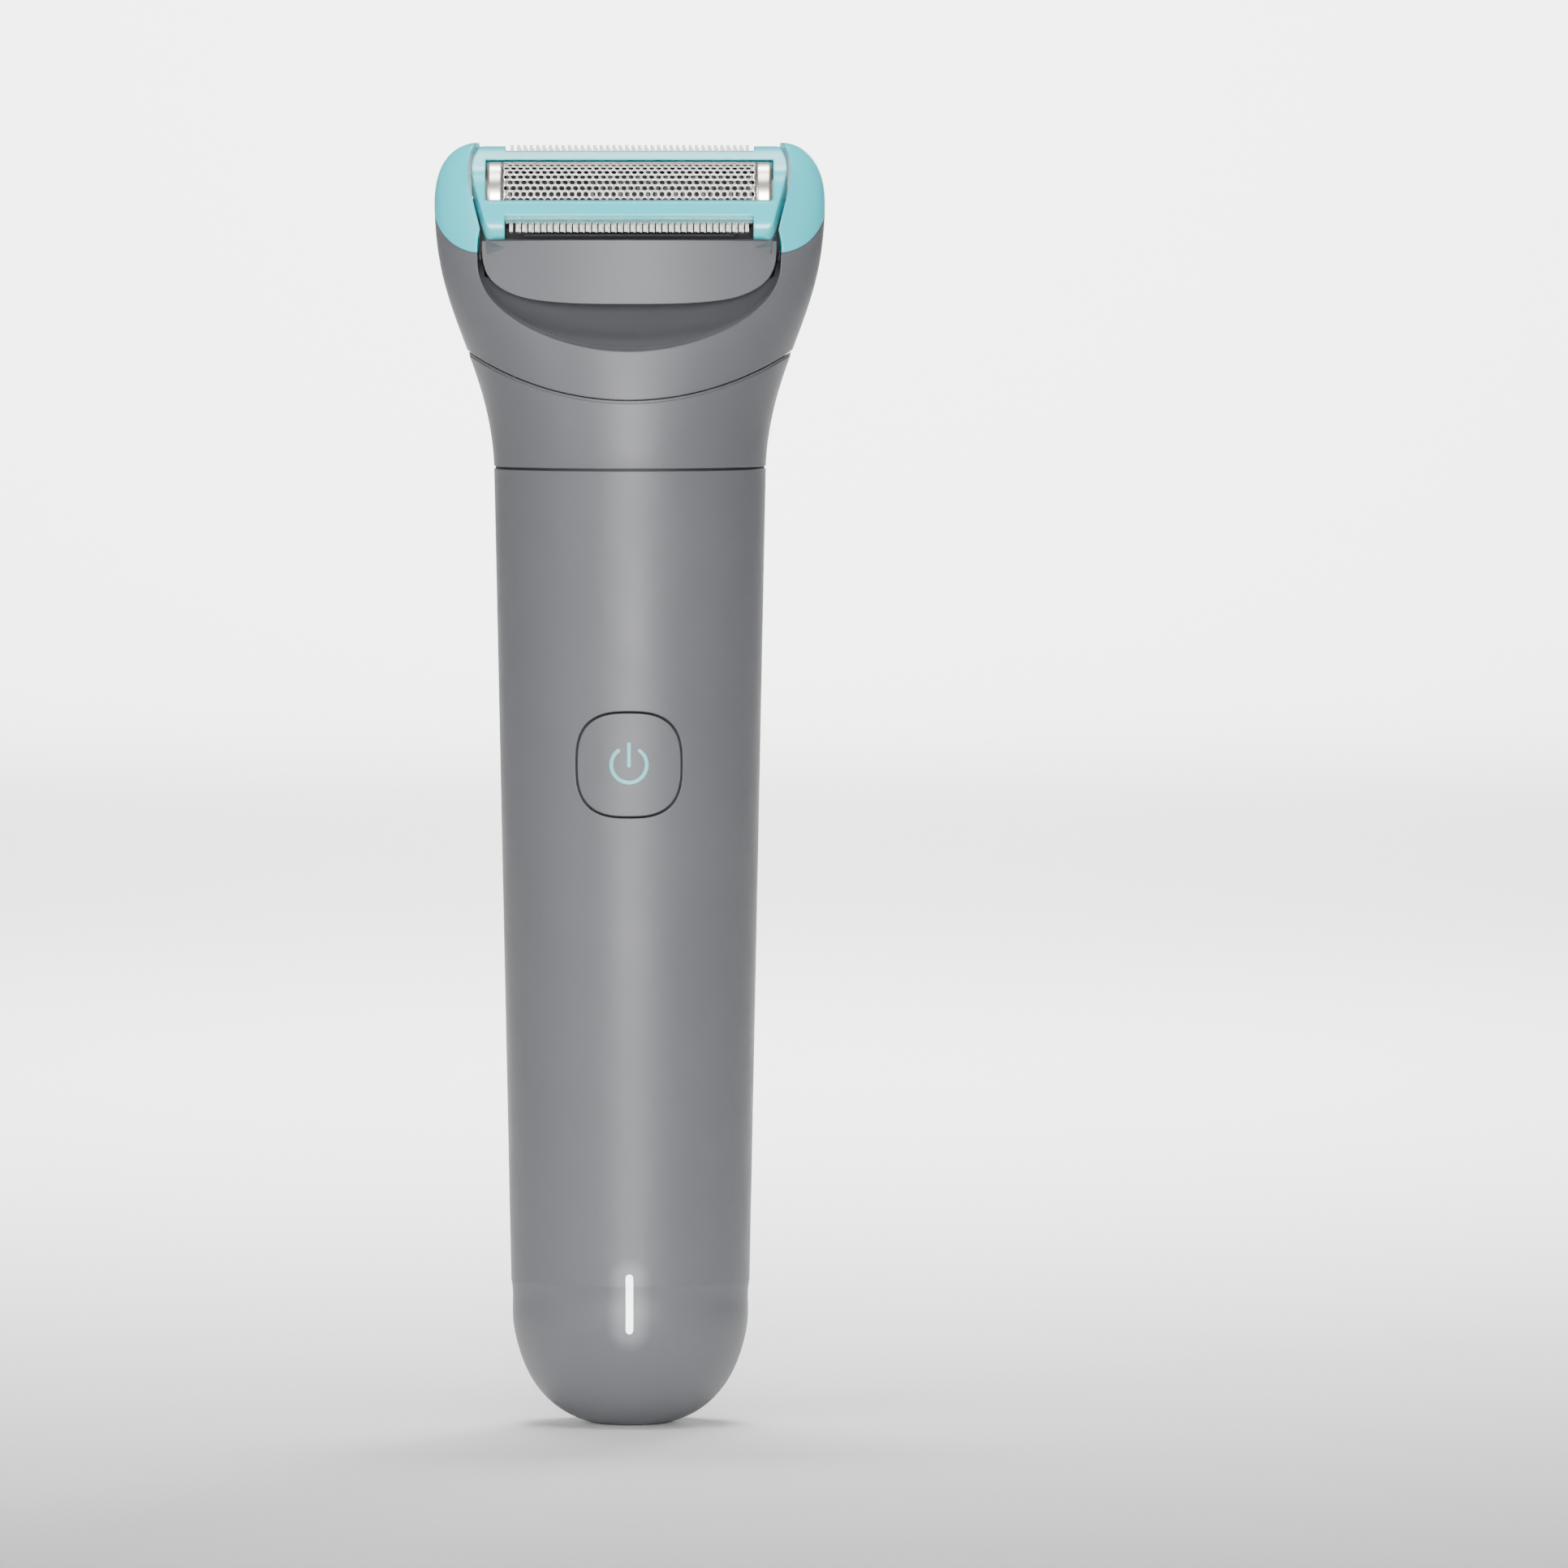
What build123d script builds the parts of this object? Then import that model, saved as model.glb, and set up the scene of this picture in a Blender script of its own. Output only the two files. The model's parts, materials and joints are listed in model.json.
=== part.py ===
"""A cordless body groomer: a slim handle with a power button, a flared neck with two pivot arms, and a
tilting shaver head with a perforated foil between two toothed trimmers.

Millimetres, +Z up along the handle, the front faces -Y, +X is to the right seen from the front.
The origin is on the handle's axis in the middle of the hand grip. Heights in this file are counted from
the base of the handle, and up() turns one into a Z in the part's frame.
"""

import os
from math import cos, pi, radians, sin

from build123d import *

# ---- driving dimensions -------------------------------------------------------------------------
GRIP_HEIGHT = 70.0  # the origin, in the middle of the hand grip
SEAM_HEIGHT = 125.4  # top of the handle shells
SEAM_GAP = 0.35  # filled by the dark neck seal
WALL = 1.8
DEPTH_RATIO = 0.86  # handle depth over handle width
SLIP = 0.1  # clearance between parts that are only placed together

DOME_HEIGHT = 19.0  # the rounded end of the handle
DOME_HALF_WIDTH = 15.65
DOME_POWER = 2.5
DOME_POLE = -0.3  # the dome's own pole, below the flat face of the charging socket
HANDLE_TOP_HALF_WIDTH = 17.8

# neck and arms: height, half width, half depth, how far the centre sits forward
NECK_SECTIONS = [
    (SEAM_HEIGHT + SEAM_GAP, 17.8, 15.3, 0.0),
    (132.5, 18.7, 15.1, 0.1),
    (139.0, 20.6, 14.1, 0.5),
    (145.0, 22.8, 12.6, 1.2),
    (151.6, 24.7, 10.8, 1.9),
    (157.6, 25.45, 9.3, 2.4),
    (161.0, 25.5, 8.6, 2.5),
    (164.4, 24.8, 7.4, 2.5),
    (166.4, 23.55, 5.7, 2.5),
    (167.6, 21.8, 3.6, 2.5),
    (168.0, 20.4, 2.0, 2.5),
]
PARTING_HEIGHT = 134.7  # lowest point of the curved line between collar and cradle
PARTING_RADIUS = 39.4
TRIM_TOP, COLLAR_TOP = 0.16, 0.5  # drops below the curved line

PIVOT_HEIGHT = 159.0
PIVOT_Y = -2.5
FACE_ANGLE = 50.0  # the shaving face leans this far forward from straight up
PIN_R = 1.5
PIN_INNER, PIN_OUTER = 15.0, 23.5
RUNNING_CLEARANCE = 0.04

BUTTON_HEIGHT = 87.2
BUTTON_SIZE = 13.4
BUTTON_GAP = 0.3
BUTTON_POWER = 2.8

STROKE = 1.0  # the cutters move this far to each side

# the shaving face, in the head's own frame
# how far the face reaches to each side, going from its front edge to its back edge
FACE_HALF_LENGTHS = [
    (-9.4, 18.85),
    (-7.1, 19.1),
    (-3.9, 19.9),
    (-2.1, 20.4),
    (1.2, 21.0),
    (4.0, 20.8),
    (6.6, 20.0),
    (9.4, 18.8),
]
FRAME_BASE = 2.65  # underside of the foil frame
FOIL_AXIS = 3.0
FOIL_R = 4.6
FOIL_THICKNESS = 0.12
FOIL_HALF_LENGTH = 18.6
WINDOW_HALF_LENGTH = 18.75
BAR_EDGE = 5.42  # outer edge of the two long bars of the frame
BAR_UNDERSIDE = 4.8
NOTCH_HALF_LENGTH = 16.2  # the trimmers lie between the frame's corner horns
TOOTH_PITCH = 0.83
PLATE_THICKNESS = 0.35
BLADE_THICKNESS = 0.3

os.makedirs("parts", exist_ok=True)


def up(height):
    """Z in the part's frame of a height above the base."""
    return height - GRIP_HEIGHT


def save(builder, name):
    """Labels a finished piece and writes its STEP file."""
    builder.part.label = name
    export_step(builder.part, f"parts/{name}.step")


def superellipse(half_width, half_height, power, centre_height, count=24):
    """Points of the closed curve |x / a|^p + |y / b|^p = 1 about a height above the base."""
    points = []
    for step in range(count):
        angle = 2 * pi * step / count
        across, along = cos(angle), sin(angle)
        reach = (abs(across) ** power + abs(along) ** power) ** (-1 / power)
        points.append((half_width * reach * across, up(centre_height) + half_height * reach * along))
    return points


# front view of the whole groomer: sketch X is the row's X, sketch Y is the row's Z, it grows to the front
FRONT = Plane(origin=(0, 0, 0), x_dir=(1, 0, 0), z_dir=(0, -1, 0))
# the tilting head's own frame: X across, Y up and back along the shaving face, Z out of the face
HEAD = Plane(
    origin=(0, PIVOT_Y, up(PIVOT_HEIGHT)),
    x_dir=(1, 0, 0),
    z_dir=(0, -sin(radians(FACE_ANGLE)), cos(radians(FACE_ANGLE))),
)
# the head's frame seen from its +X end: sketch X is the head's Y, sketch Y is the head's Z
HEAD_SIDE = Plane(origin=HEAD.origin, x_dir=HEAD.y_dir, z_dir=(1, 0, 0))
# the pivot seen from its +X end in the row's directions
PIVOT_SIDE = Plane(origin=HEAD.origin, x_dir=(0, 1, 0), z_dir=(1, 0, 0))
# half a section through the pivot axis: sketch X along the axis, sketch Y the radius
PIVOT_SECTION = Plane(origin=HEAD.origin, x_dir=(1, 0, 0), z_dir=(0, -1, 0))
PIVOT_AXIS = Axis(origin=HEAD.origin, direction=(1, 0, 0))


def level(height):
    """The horizontal plane at a height above the base."""
    return Plane.XY.offset(up(height))


# ---- the two guiding shapes: handle and neck ----------------------------------------------------
def half_width_at(height):
    """Half the shaft's width at a height: it widens evenly from the dome to the seam."""
    share = (height - DOME_HEIGHT) / (SEAM_HEIGHT - DOME_HEIGHT)
    return DOME_HALF_WIDTH + share * (HANDLE_TOP_HALF_WIDTH - DOME_HALF_WIDTH)


def oval(half_width, half_depth):
    """An ellipse whose seam lies at the back, so that nothing is cut along it."""
    return Ellipse(half_depth, half_width, rotation=90)


def dome_solid(inset):
    """The rounded end of the handle as a stack of ellipses, with a small flat that the socket covers."""
    full_width, full_depth = DOME_HALF_WIDTH - inset, DOME_HALF_WIDTH * DEPTH_RATIO - inset
    bottom = DOME_POLE + inset
    with BuildPart(mode=Mode.PRIVATE) as dome:
        for share in (0.0156, 0.035, 0.07, 0.12, 0.19, 0.28, 0.4, 0.55, 0.75, 1.0):
            reach = (1 - (1 - share) ** DOME_POWER) ** (1 / DOME_POWER)
            with BuildSketch(level(bottom + share * (DOME_HEIGHT - bottom))):
                oval(full_width * reach, full_depth * reach)
        loft()
    return dome.part


def handle_solid(inset):
    """The handle with elliptical sections, inset from the outside."""
    with BuildPart(mode=Mode.PRIVATE) as handle:
        for height in (DOME_HEIGHT, SEAM_HEIGHT):
            half_width = half_width_at(height)
            with BuildSketch(level(height)):
                oval(half_width - inset, half_width * DEPTH_RATIO - inset)
        loft(ruled=True)
        add(dome_solid(inset))
    return handle.part


def neck_solid(inset, straight=False):
    """The neck and arms as one closed body through its elliptical sections, smooth or straight between."""
    with BuildPart(mode=Mode.PRIVATE) as body:
        for height, half_width, half_depth, forward in NECK_SECTIONS:
            if half_depth - inset < 1.0:
                continue
            with BuildSketch(level(height)):
                with Locations((0, -forward)):
                    oval(half_width - inset, half_depth - inset)
        loft(ruled=straight)
    return body.part


def below_parting(drop):
    """Everything below the curved parting line, lowered by drop."""
    edge = 30.0
    rise = PARTING_RADIUS - (PARTING_RADIUS**2 - edge**2) ** 0.5
    low = up(PARTING_HEIGHT) - drop
    with BuildPart(mode=Mode.PRIVATE) as block:
        with BuildSketch(FRONT):
            with BuildLine():
                ThreePointArc((-edge, low + rise), (0, low), (edge, low + rise))
                Polyline((edge, low + rise), (edge, up(110)), (-edge, up(110)), (-edge, low + rise))
            make_face()
        extrude(amount=30, both=True)
    return block.part


HANDLE_OUTER = handle_solid(0)
HANDLE_INNER = handle_solid(WALL)
NECK_OUTER = neck_solid(0)
NECK_INNER = neck_solid(WALL, straight=True)

# ---- handle: front and back shell ---------------------------------------------------------------
SOCKET_BODY = (12.4, 8.6)  # outside of the charging socket where it shows in the base
LIGHT_BAR = (0.95, 7.8)
LIGHT_BAR_HEIGHT = 16.7


def stadium(size, height_from, height_to, grow=0.0):
    """An upright solid with straight sides and two round ends, centred on the handle's axis."""
    width, depth = size[0] + 2 * grow, size[1] + 2 * grow
    with BuildPart(mode=Mode.PRIVATE) as block:
        with BuildSketch(level(height_from)):
            SlotOverall(width, depth)
        extrude(amount=height_to - height_from)
    return block.part


def button_prism(size, depth_from, depth_to):
    """A squircle prism at the power button, between two Y values."""
    with BuildPart(mode=Mode.PRIVATE) as block:
        with BuildSketch(FRONT.offset(-depth_to)):
            with BuildLine():
                Spline(*superellipse(size / 2, size / 2, BUTTON_POWER, BUTTON_HEIGHT), periodic=True)
            make_face()
        extrude(amount=depth_to - depth_from)
    return block.part


def light_bar_prism(grow, depth_from, depth_to):
    """An upright slot-shaped prism for the light bar, between two Y values."""
    with BuildPart(mode=Mode.PRIVATE) as block:
        with BuildSketch(FRONT.offset(-depth_to)):
            with Locations((0, up(LIGHT_BAR_HEIGHT))):
                SlotOverall(LIGHT_BAR[1] + 2 * grow, LIGHT_BAR[0] + 2 * grow, rotation=90)
        extrude(amount=depth_to - depth_from)
    return block.part


with BuildPart() as handle_body:
    add(HANDLE_OUTER)
    add(HANDLE_INNER, mode=Mode.SUBTRACT)
    add(stadium(SOCKET_BODY, -2, 12, grow=0.05), mode=Mode.SUBTRACT)
    add(button_prism(BUTTON_SIZE + 2 * BUTTON_GAP, -20, -8), mode=Mode.SUBTRACT)
    add(light_bar_prism(0.03, -20, -8), mode=Mode.SUBTRACT)

with BuildPart() as handle_front_shell:
    add(split(handle_body.part, bisect_by=Plane.XZ.offset(0.04), keep=Keep.TOP, mode=Mode.PRIVATE))
save(handle_front_shell, "handle_front_shell")

with BuildPart() as handle_back_shell:
    add(split(handle_body.part, bisect_by=Plane.XZ.offset(-0.04), keep=Keep.BOTTOM, mode=Mode.PRIVATE))
save(handle_back_shell, "handle_back_shell")

# ---- power button -------------------------------------------------------------------------------
BUTTON_BACK = -11.8
STEM_END = -10.75
with BuildPart() as power_button:
    add(HANDLE_OUTER)
    add(button_prism(BUTTON_SIZE, -20, BUTTON_BACK), mode=Mode.INTERSECT)
    with BuildSketch(FRONT.offset(-STEM_END)):
        with Locations((0, up(BUTTON_HEIGHT))):
            Circle(1.6)
    extrude(amount=-STEM_END - 12.5 + 2 * 1.75)
save(power_button, "power_button")

# the soft ring behind the gap round the button
GASKET_FRONT, GASKET_BACK = -11.1, -10.5
with BuildPart() as button_gasket:
    add(button_prism(14.8, GASKET_FRONT, GASKET_BACK))
    add(button_prism(12.0, GASKET_FRONT - 1, GASKET_BACK + 1), mode=Mode.SUBTRACT)
save(button_gasket, "button_gasket")

# ---- inside the handle --------------------------------------------------------------------------
BOARD_FRONT, BOARD_BACK = -8.2, -7.2
BOARD_SCREWS = [(4.4, 40.0), (-4.4, 70.0)]  # X, height
BOARD_BOTTOM, BOARD_TOP = 11.0, 96.0
SCREW_R = 0.7
with BuildPart() as circuit_board:
    with BuildSketch(FRONT.offset(-BOARD_BACK)):
        with Locations((0, up((BOARD_BOTTOM + BOARD_TOP) / 2))):
            RectangleRounded(12, BOARD_TOP - BOARD_BOTTOM, 1.0)
        with Locations(*[(x, up(height)) for x, height in BOARD_SCREWS]):
            Circle(SCREW_R + 0.1, mode=Mode.SUBTRACT)
    extrude(amount=BOARD_BACK - BOARD_FRONT)
save(circuit_board, "circuit_board")

with BuildPart() as tact_switch:
    with BuildSketch(FRONT.offset(-BOARD_FRONT)):
        with Locations((0, up(BUTTON_HEIGHT))):
            RectangleRounded(5.2, 5.2, 0.4)
    extrude(amount=1.4)
    with BuildSketch(FRONT.offset(-BOARD_FRONT + 1.4)):
        with Locations((0, up(BUTTON_HEIGHT))):
            Circle(1.3)
    extrude(amount=0.6)
save(tact_switch, "tact_switch")

# height, X, width, height, thickness of each chip on the board
CHIPS = [
    (60.0, 0.0, 5.0, 5.0, 0.9),
    (48.0, 2.6, 3.0, 3.4, 1.1),
    (30.0, 0.0, 6.0, 4.0, 1.6),
    (72.0, 2.2, 2.4, 3.0, 0.8),
]
with BuildPart() as board_components:
    for height, x, width, length, thickness in CHIPS:
        with BuildSketch(FRONT.offset(-BOARD_FRONT)):
            with Locations((x, up(height))):
                Rectangle(width, length)
        extrude(amount=thickness)
save(board_components, "board_components")

with BuildPart() as status_leds:
    with BuildSketch(FRONT.offset(-BOARD_FRONT)):
        with Locations((0, up(LIGHT_BAR_HEIGHT))):
            with GridLocations(0, 2.6, 1, 3):
                Rectangle(1.6, 0.9)
    extrude(amount=0.9)
save(status_leds, "status_leds")

with BuildPart() as light_guide:
    add(handle_solid(0.02))
    add(light_bar_prism(0, -20, -9.3), mode=Mode.INTERSECT)
save(light_guide, "light_guide")

with BuildPart() as board_screws:
    for x, height in BOARD_SCREWS:
        with BuildSketch(FRONT.offset(-BOARD_FRONT)):
            with Locations((x, up(height))):
                Circle(1.3)
        extrude(amount=0.8)
        with BuildSketch(FRONT.offset(-BOARD_FRONT)):
            with Locations((x, up(height))):
                Circle(SCREW_R)
        extrude(amount=-2.8)
save(board_screws, "board_screws")

BATTERY_R, BATTERY_Y = 7.0, 1.2
BATTERY_BOTTOM, BATTERY_TOP = 30.0, 80.0
with BuildPart() as battery_cell:
    with BuildSketch(level(BATTERY_BOTTOM)):
        with Locations((0, BATTERY_Y)):
            Circle(BATTERY_R)
    extrude(amount=BATTERY_TOP - BATTERY_BOTTOM - 1)
    fillet(battery_cell.edges().filter_by(GeomType.CIRCLE), 0.6)
    with BuildSketch(level(BATTERY_TOP - 1)):
        with Locations((0, BATTERY_Y)):
            Circle(2.8)
    extrude(amount=1)
save(battery_cell, "battery_cell")

TAB = 0.25
with BuildPart() as battery_tabs:
    for end, outward in ((BATTERY_BOTTOM, -1), (BATTERY_TOP, 1)):
        with BuildSketch(level(end)):
            with Locations((0, (BATTERY_Y + 2 + BOARD_BACK + 1.2) / 2)):
                Rectangle(5.0, BATTERY_Y + 2 - BOARD_BACK - 1.2)
        extrude(amount=outward * TAB)
save(battery_tabs, "battery_tabs")

PLATE_FRONT, PLATE_BACK = -7.1, -6.0
RIB_HEIGHTS = [(26.5, 2.0), (81.5, 2.0), (98.7, 2.0)]  # bottom, thickness
MOTOR_BOTTOM, MOTOR_TOP = 100.7, 127.5
MOTOR_Y = PIVOT_Y
with BuildPart() as ribs:
    add(handle_solid(WALL + 0.15))
    with BuildPart(mode=Mode.INTERSECT):
        for bottom, thickness in RIB_HEIGHTS:
            with BuildSketch(level(bottom)):
                Rectangle(40, 40)
            extrude(amount=thickness)
with BuildPart() as inner_chassis:
    add(ribs.part)
    with BuildSketch(FRONT.offset(-PLATE_BACK)):
        with Locations((0, up(57.5))):
            Rectangle(17, 85)
    extrude(amount=PLATE_BACK - PLATE_FRONT)
    with BuildSketch(FRONT.offset(-PLATE_FRONT)):
        with Locations((0, up(60))):
            Rectangle(40, 100)
    extrude(amount=20, mode=Mode.SUBTRACT)
    with BuildSketch(FRONT.offset(-PLATE_BACK - 0.5)):
        with Locations(*[(x, up(height)) for x, height in BOARD_SCREWS]):
            Circle(SCREW_R + 0.03)
    extrude(amount=3, mode=Mode.SUBTRACT)
    with BuildSketch(level(95)):
        with GridLocations(12, 1, 2, 1):
            Rectangle(3, 3)
    extrude(amount=10, mode=Mode.SUBTRACT)
save(inner_chassis, "inner_chassis")

# ---- charging socket ----------------------------------------------------------------------------
SOCKET_MOUTH = (8.6, 5.0)
SOCKET_DEPTH = 9.5
FLANGE_HEIGHT = 3.8
with BuildPart() as charging_socket:
    add(stadium(SOCKET_BODY, 0, 12))
    add(HANDLE_OUTER, mode=Mode.INTERSECT)
    add(stadium((15.0, 10.8), FLANGE_HEIGHT, FLANGE_HEIGHT + 1.2))
    add(stadium(SOCKET_MOUTH, -1, SOCKET_DEPTH), mode=Mode.SUBTRACT)
    with BuildSketch(level(8)):
        with GridLocations(4.8, 1, 2, 1):
            Circle(0.62)
    extrude(amount=6, mode=Mode.SUBTRACT)
save(charging_socket, "charging_socket")

with BuildPart() as socket_pins:
    with BuildSketch(level(4.8)):
        with GridLocations(4.8, 1, 2, 1):
            Circle(0.6)
    extrude(amount=9.4)
    chamfer(socket_pins.edges().group_by(Axis.Z)[0], 0.2)
save(socket_pins, "socket_pins")

with BuildPart() as socket_seal:
    add(stadium((14.0, 10.2), 3.15, 3.75))
    add(stadium(SOCKET_BODY, 2, 5, grow=0.02), mode=Mode.SUBTRACT)
save(socket_seal, "socket_seal")

# ---- motor and its drive ------------------------------------------------------------------------
MOTOR_R, MOTOR_FLATS = 10.0, 15.4
SHAFT_R = 1.0
MOUNT_THICKNESS = 1.6
MOTOR_SCREW_X = 7.2
DISC_BOTTOM, DISC_TOP = 133.5, 135.5
CRANK_R, CRANK_OFFSET, CRANK_TOP = 1.0, STROKE, 139.6
FORK_BOTTOM, FORK_TOP = 136.8, 139.2

with BuildPart() as drive_motor:
    with BuildSketch(level(MOTOR_BOTTOM)):
        with Locations((0, MOTOR_Y)):
            Circle(MOTOR_R)
            Rectangle(30, MOTOR_FLATS, mode=Mode.INTERSECT)
    extrude(amount=MOTOR_TOP - MOTOR_BOTTOM)
    fillet(drive_motor.faces().sort_by(Axis.Z)[0].edges(), 0.8)
    with BuildSketch(level(MOTOR_TOP)):
        with Locations((0, MOTOR_Y)):
            Circle(3.0)
    extrude(amount=1.4)
    with BuildSketch(level(MOTOR_TOP - 4)):
        with Locations((0, MOTOR_Y)):
            Circle(SHAFT_R + RUNNING_CLEARANCE)
            with GridLocations(2 * MOTOR_SCREW_X, 1, 2, 1):
                Circle(0.93)
    extrude(amount=6, mode=Mode.SUBTRACT)
save(drive_motor, "drive_motor")

with BuildPart() as motor_terminals:
    with BuildSketch(level(MOTOR_BOTTOM - 2.4)):
        with GridLocations(12, 1, 2, 1):
            Rectangle(0.4, 2.0)
    extrude(amount=2.4)
save(motor_terminals, "motor_terminals")

with BuildPart() as motor_mount:
    with BuildSketch(level(MOTOR_TOP)):
        Ellipse(15.7, 13.2)
        with Locations((0, MOTOR_Y)):
            Circle(3.2, mode=Mode.SUBTRACT)
            with GridLocations(2 * MOTOR_SCREW_X, 1, 2, 1):
                Circle(1.1, mode=Mode.SUBTRACT)
    extrude(amount=MOUNT_THICKNESS)
save(motor_mount, "motor_mount")

with BuildPart() as motor_screws:
    with BuildSketch(level(MOTOR_TOP + MOUNT_THICKNESS)):
        with Locations((0, MOTOR_Y)):
            with GridLocations(2 * MOTOR_SCREW_X, 1, 2, 1):
                Circle(1.8)
    extrude(amount=1.2)
    with BuildSketch(level(MOTOR_TOP + MOUNT_THICKNESS)):
        with Locations((0, MOTOR_Y)):
            with GridLocations(2 * MOTOR_SCREW_X, 1, 2, 1):
                Circle(0.9)
    extrude(amount=-MOUNT_THICKNESS - 3)
save(motor_screws, "motor_screws")

with BuildPart() as motor_shaft:
    with BuildSketch(level(MOTOR_TOP - 3.9)):
        with Locations((0, MOTOR_Y)):
            Circle(SHAFT_R)
    extrude(amount=DISC_TOP - MOTOR_TOP + 3.9)
save(motor_shaft, "motor_shaft")

with BuildPart() as drive_eccentric:
    with BuildSketch(level(DISC_BOTTOM)):
        with Locations((0, MOTOR_Y)):
            Circle(3.6)
    extrude(amount=DISC_TOP - DISC_BOTTOM)
    with BuildSketch(level(DISC_BOTTOM)):
        with Locations((0, MOTOR_Y)):
            Circle(SHAFT_R)
    extrude(amount=DISC_TOP - DISC_BOTTOM, mode=Mode.SUBTRACT)
    with BuildSketch(level(DISC_TOP)):
        with Locations((CRANK_OFFSET, MOTOR_Y)):
            Circle(CRANK_R)
    extrude(amount=CRANK_TOP - DISC_TOP)
save(drive_eccentric, "drive_eccentric")

BALL_R, POST_R = 1.35, 1.0
ARCH_BOTTOM, ARCH_TOP = 143.6, 145.0
FORK_HALF_LENGTH = 7.0
WINDOW = (2 * (CRANK_R + 2 * STROKE + 0.2), 2 * (CRANK_R + STROKE + 0.3))
with BuildPart() as drive_lever:
    with BuildSketch(level(FORK_BOTTOM)):
        with Locations((0, MOTOR_Y)):
            RectangleRounded(2 * FORK_HALF_LENGTH, 8.0, 1.0)
            Rectangle(*WINDOW, mode=Mode.SUBTRACT)
    extrude(amount=FORK_TOP - FORK_BOTTOM)
    with BuildSketch(level(FORK_TOP)):
        with Locations((0, MOTOR_Y)):
            with GridLocations(10.8, 1, 2, 1):
                Rectangle(1.6, 3.4)
    extrude(amount=ARCH_BOTTOM - FORK_TOP)
    with BuildSketch(level(ARCH_BOTTOM)):
        with Locations((0, MOTOR_Y)):
            Rectangle(12.4, 3.4)
    extrude(amount=ARCH_TOP - ARCH_BOTTOM)
    with BuildSketch(level(ARCH_TOP)):
        with Locations((0, MOTOR_Y)):
            Circle(POST_R)
    extrude(amount=PIVOT_HEIGHT - ARCH_TOP)
    with Locations((0, PIVOT_Y, up(PIVOT_HEIGHT))):
        Sphere(BALL_R)
save(drive_lever, "drive_lever")

CEILING = 147.8  # top of the hollow inside the cradle
with BuildPart() as drive_flexures:
    with BuildSketch(level(FORK_BOTTOM + 0.2)):
        with Locations((0, MOTOR_Y)):
            with GridLocations(2 * FORK_HALF_LENGTH + 0.3, 1, 2, 1):
                Rectangle(0.3, 3.8)
    extrude(amount=CEILING - FORK_BOTTOM - 0.2)
save(drive_flexures, "drive_flexures")

with BuildPart() as drive_seal:
    with BuildSketch(level(CEILING - 0.9)):
        with Locations((0, MOTOR_Y)):
            RectangleRounded(7.6, 3.9, 1.2)
            Circle(POST_R + 0.05, mode=Mode.SUBTRACT)
    extrude(amount=0.9)
save(drive_seal, "drive_seal")

# ---- neck: seal, collar, trim, cradle with its two arms -----------------------------------------
with BuildPart() as neck_seal:
    with BuildSketch(level(SEAM_HEIGHT)):
        Ellipse(17.6, 15.1)
        Ellipse(15.75, 13.4, mode=Mode.SUBTRACT)
    extrude(amount=SEAM_GAP)
save(neck_seal, "neck_seal")

SPIGOT_DEPTH = 5.0
SPIGOT = (15.7, 13.35)  # half width and half depth where it plugs into the handle shells
SPIGOT_BORE = (14.5, 12.15)
with BuildPart() as collar_hollow:
    add(NECK_INNER)
    add(below_parting(COLLAR_TOP), mode=Mode.INTERSECT)
    with BuildSketch(level(MOTOR_TOP)):
        Rectangle(60, 60)
    extrude(amount=-5, mode=Mode.SUBTRACT)

with BuildPart() as neck_collar:
    add(NECK_OUTER)
    add(below_parting(COLLAR_TOP), mode=Mode.INTERSECT)
    with BuildSketch(level(SEAM_HEIGHT - SPIGOT_DEPTH)):
        Ellipse(*SPIGOT)
    extrude(amount=SPIGOT_DEPTH + SEAM_GAP + 1)
    add(collar_hollow.part, mode=Mode.SUBTRACT)
    with BuildSketch(level(SEAM_HEIGHT - SPIGOT_DEPTH)):
        Ellipse(*SPIGOT_BORE)
    extrude(amount=SPIGOT_DEPTH + 3, mode=Mode.SUBTRACT)
save(neck_collar, "neck_collar")

with BuildPart() as neck_trim_ring:
    add(neck_solid(0.08))
    add(NECK_INNER, mode=Mode.SUBTRACT)
    add(below_parting(TRIM_TOP), mode=Mode.INTERSECT)
    add(below_parting(COLLAR_TOP), mode=Mode.SUBTRACT)
save(neck_trim_ring, "neck_trim_ring")

# the line between an arm and its end cap, seen from the front
CAP_ARC_X, CAP_ARC_HEIGHT, CAP_ARC_R = 19.4, 159.9, 6.2

# the space that the tilting head turns in
POCKET_HALF, POCKET_R = 21.5, 9.3


def barrel(inset):
    """A short drum round the pivot axis with domed ends, inset from the pocket."""
    half, radius = POCKET_HALF - inset, POCKET_R - inset
    with BuildPart(mode=Mode.PRIVATE) as drum:
        with BuildSketch(PIVOT_SECTION):
            with BuildLine():
                for side in (-1, 1):
                    low, middle = (side * half, radius - 3.1), (side * (half - 0.5), radius - 1.3)
                    ThreePointArc(low, middle, (side * (half - 1.7), radius))
                    Line(low, (side * half, 0))
                Line((-half, 0), (half, 0))
                Line((-half + 1.7, radius), (half - 1.7, radius))
            make_face()
        revolve(axis=PIVOT_AXIS)
    return drum.part


def face_ends(inset):
    """Points down the right end of the shaving face, from its front edge to its back edge."""
    return [(half_length - inset, y) for y, half_length in FACE_HALF_LENGTHS]


def face_outline(inset, bottom, top):
    """The shaving face's outline with its two bowed ends, as a prism along the head's Z."""
    right = face_ends(inset)
    left = [(-x, y) for x, y in right]
    with BuildPart(mode=Mode.PRIVATE) as prism:
        with BuildSketch(HEAD.offset(bottom)):
            with BuildLine():
                Spline(*right)
                Spline(*left)
                Line(right[0], left[0])
                Line(right[-1], left[-1])
            make_face()
        extrude(amount=top - bottom)
    return prism.part


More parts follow.
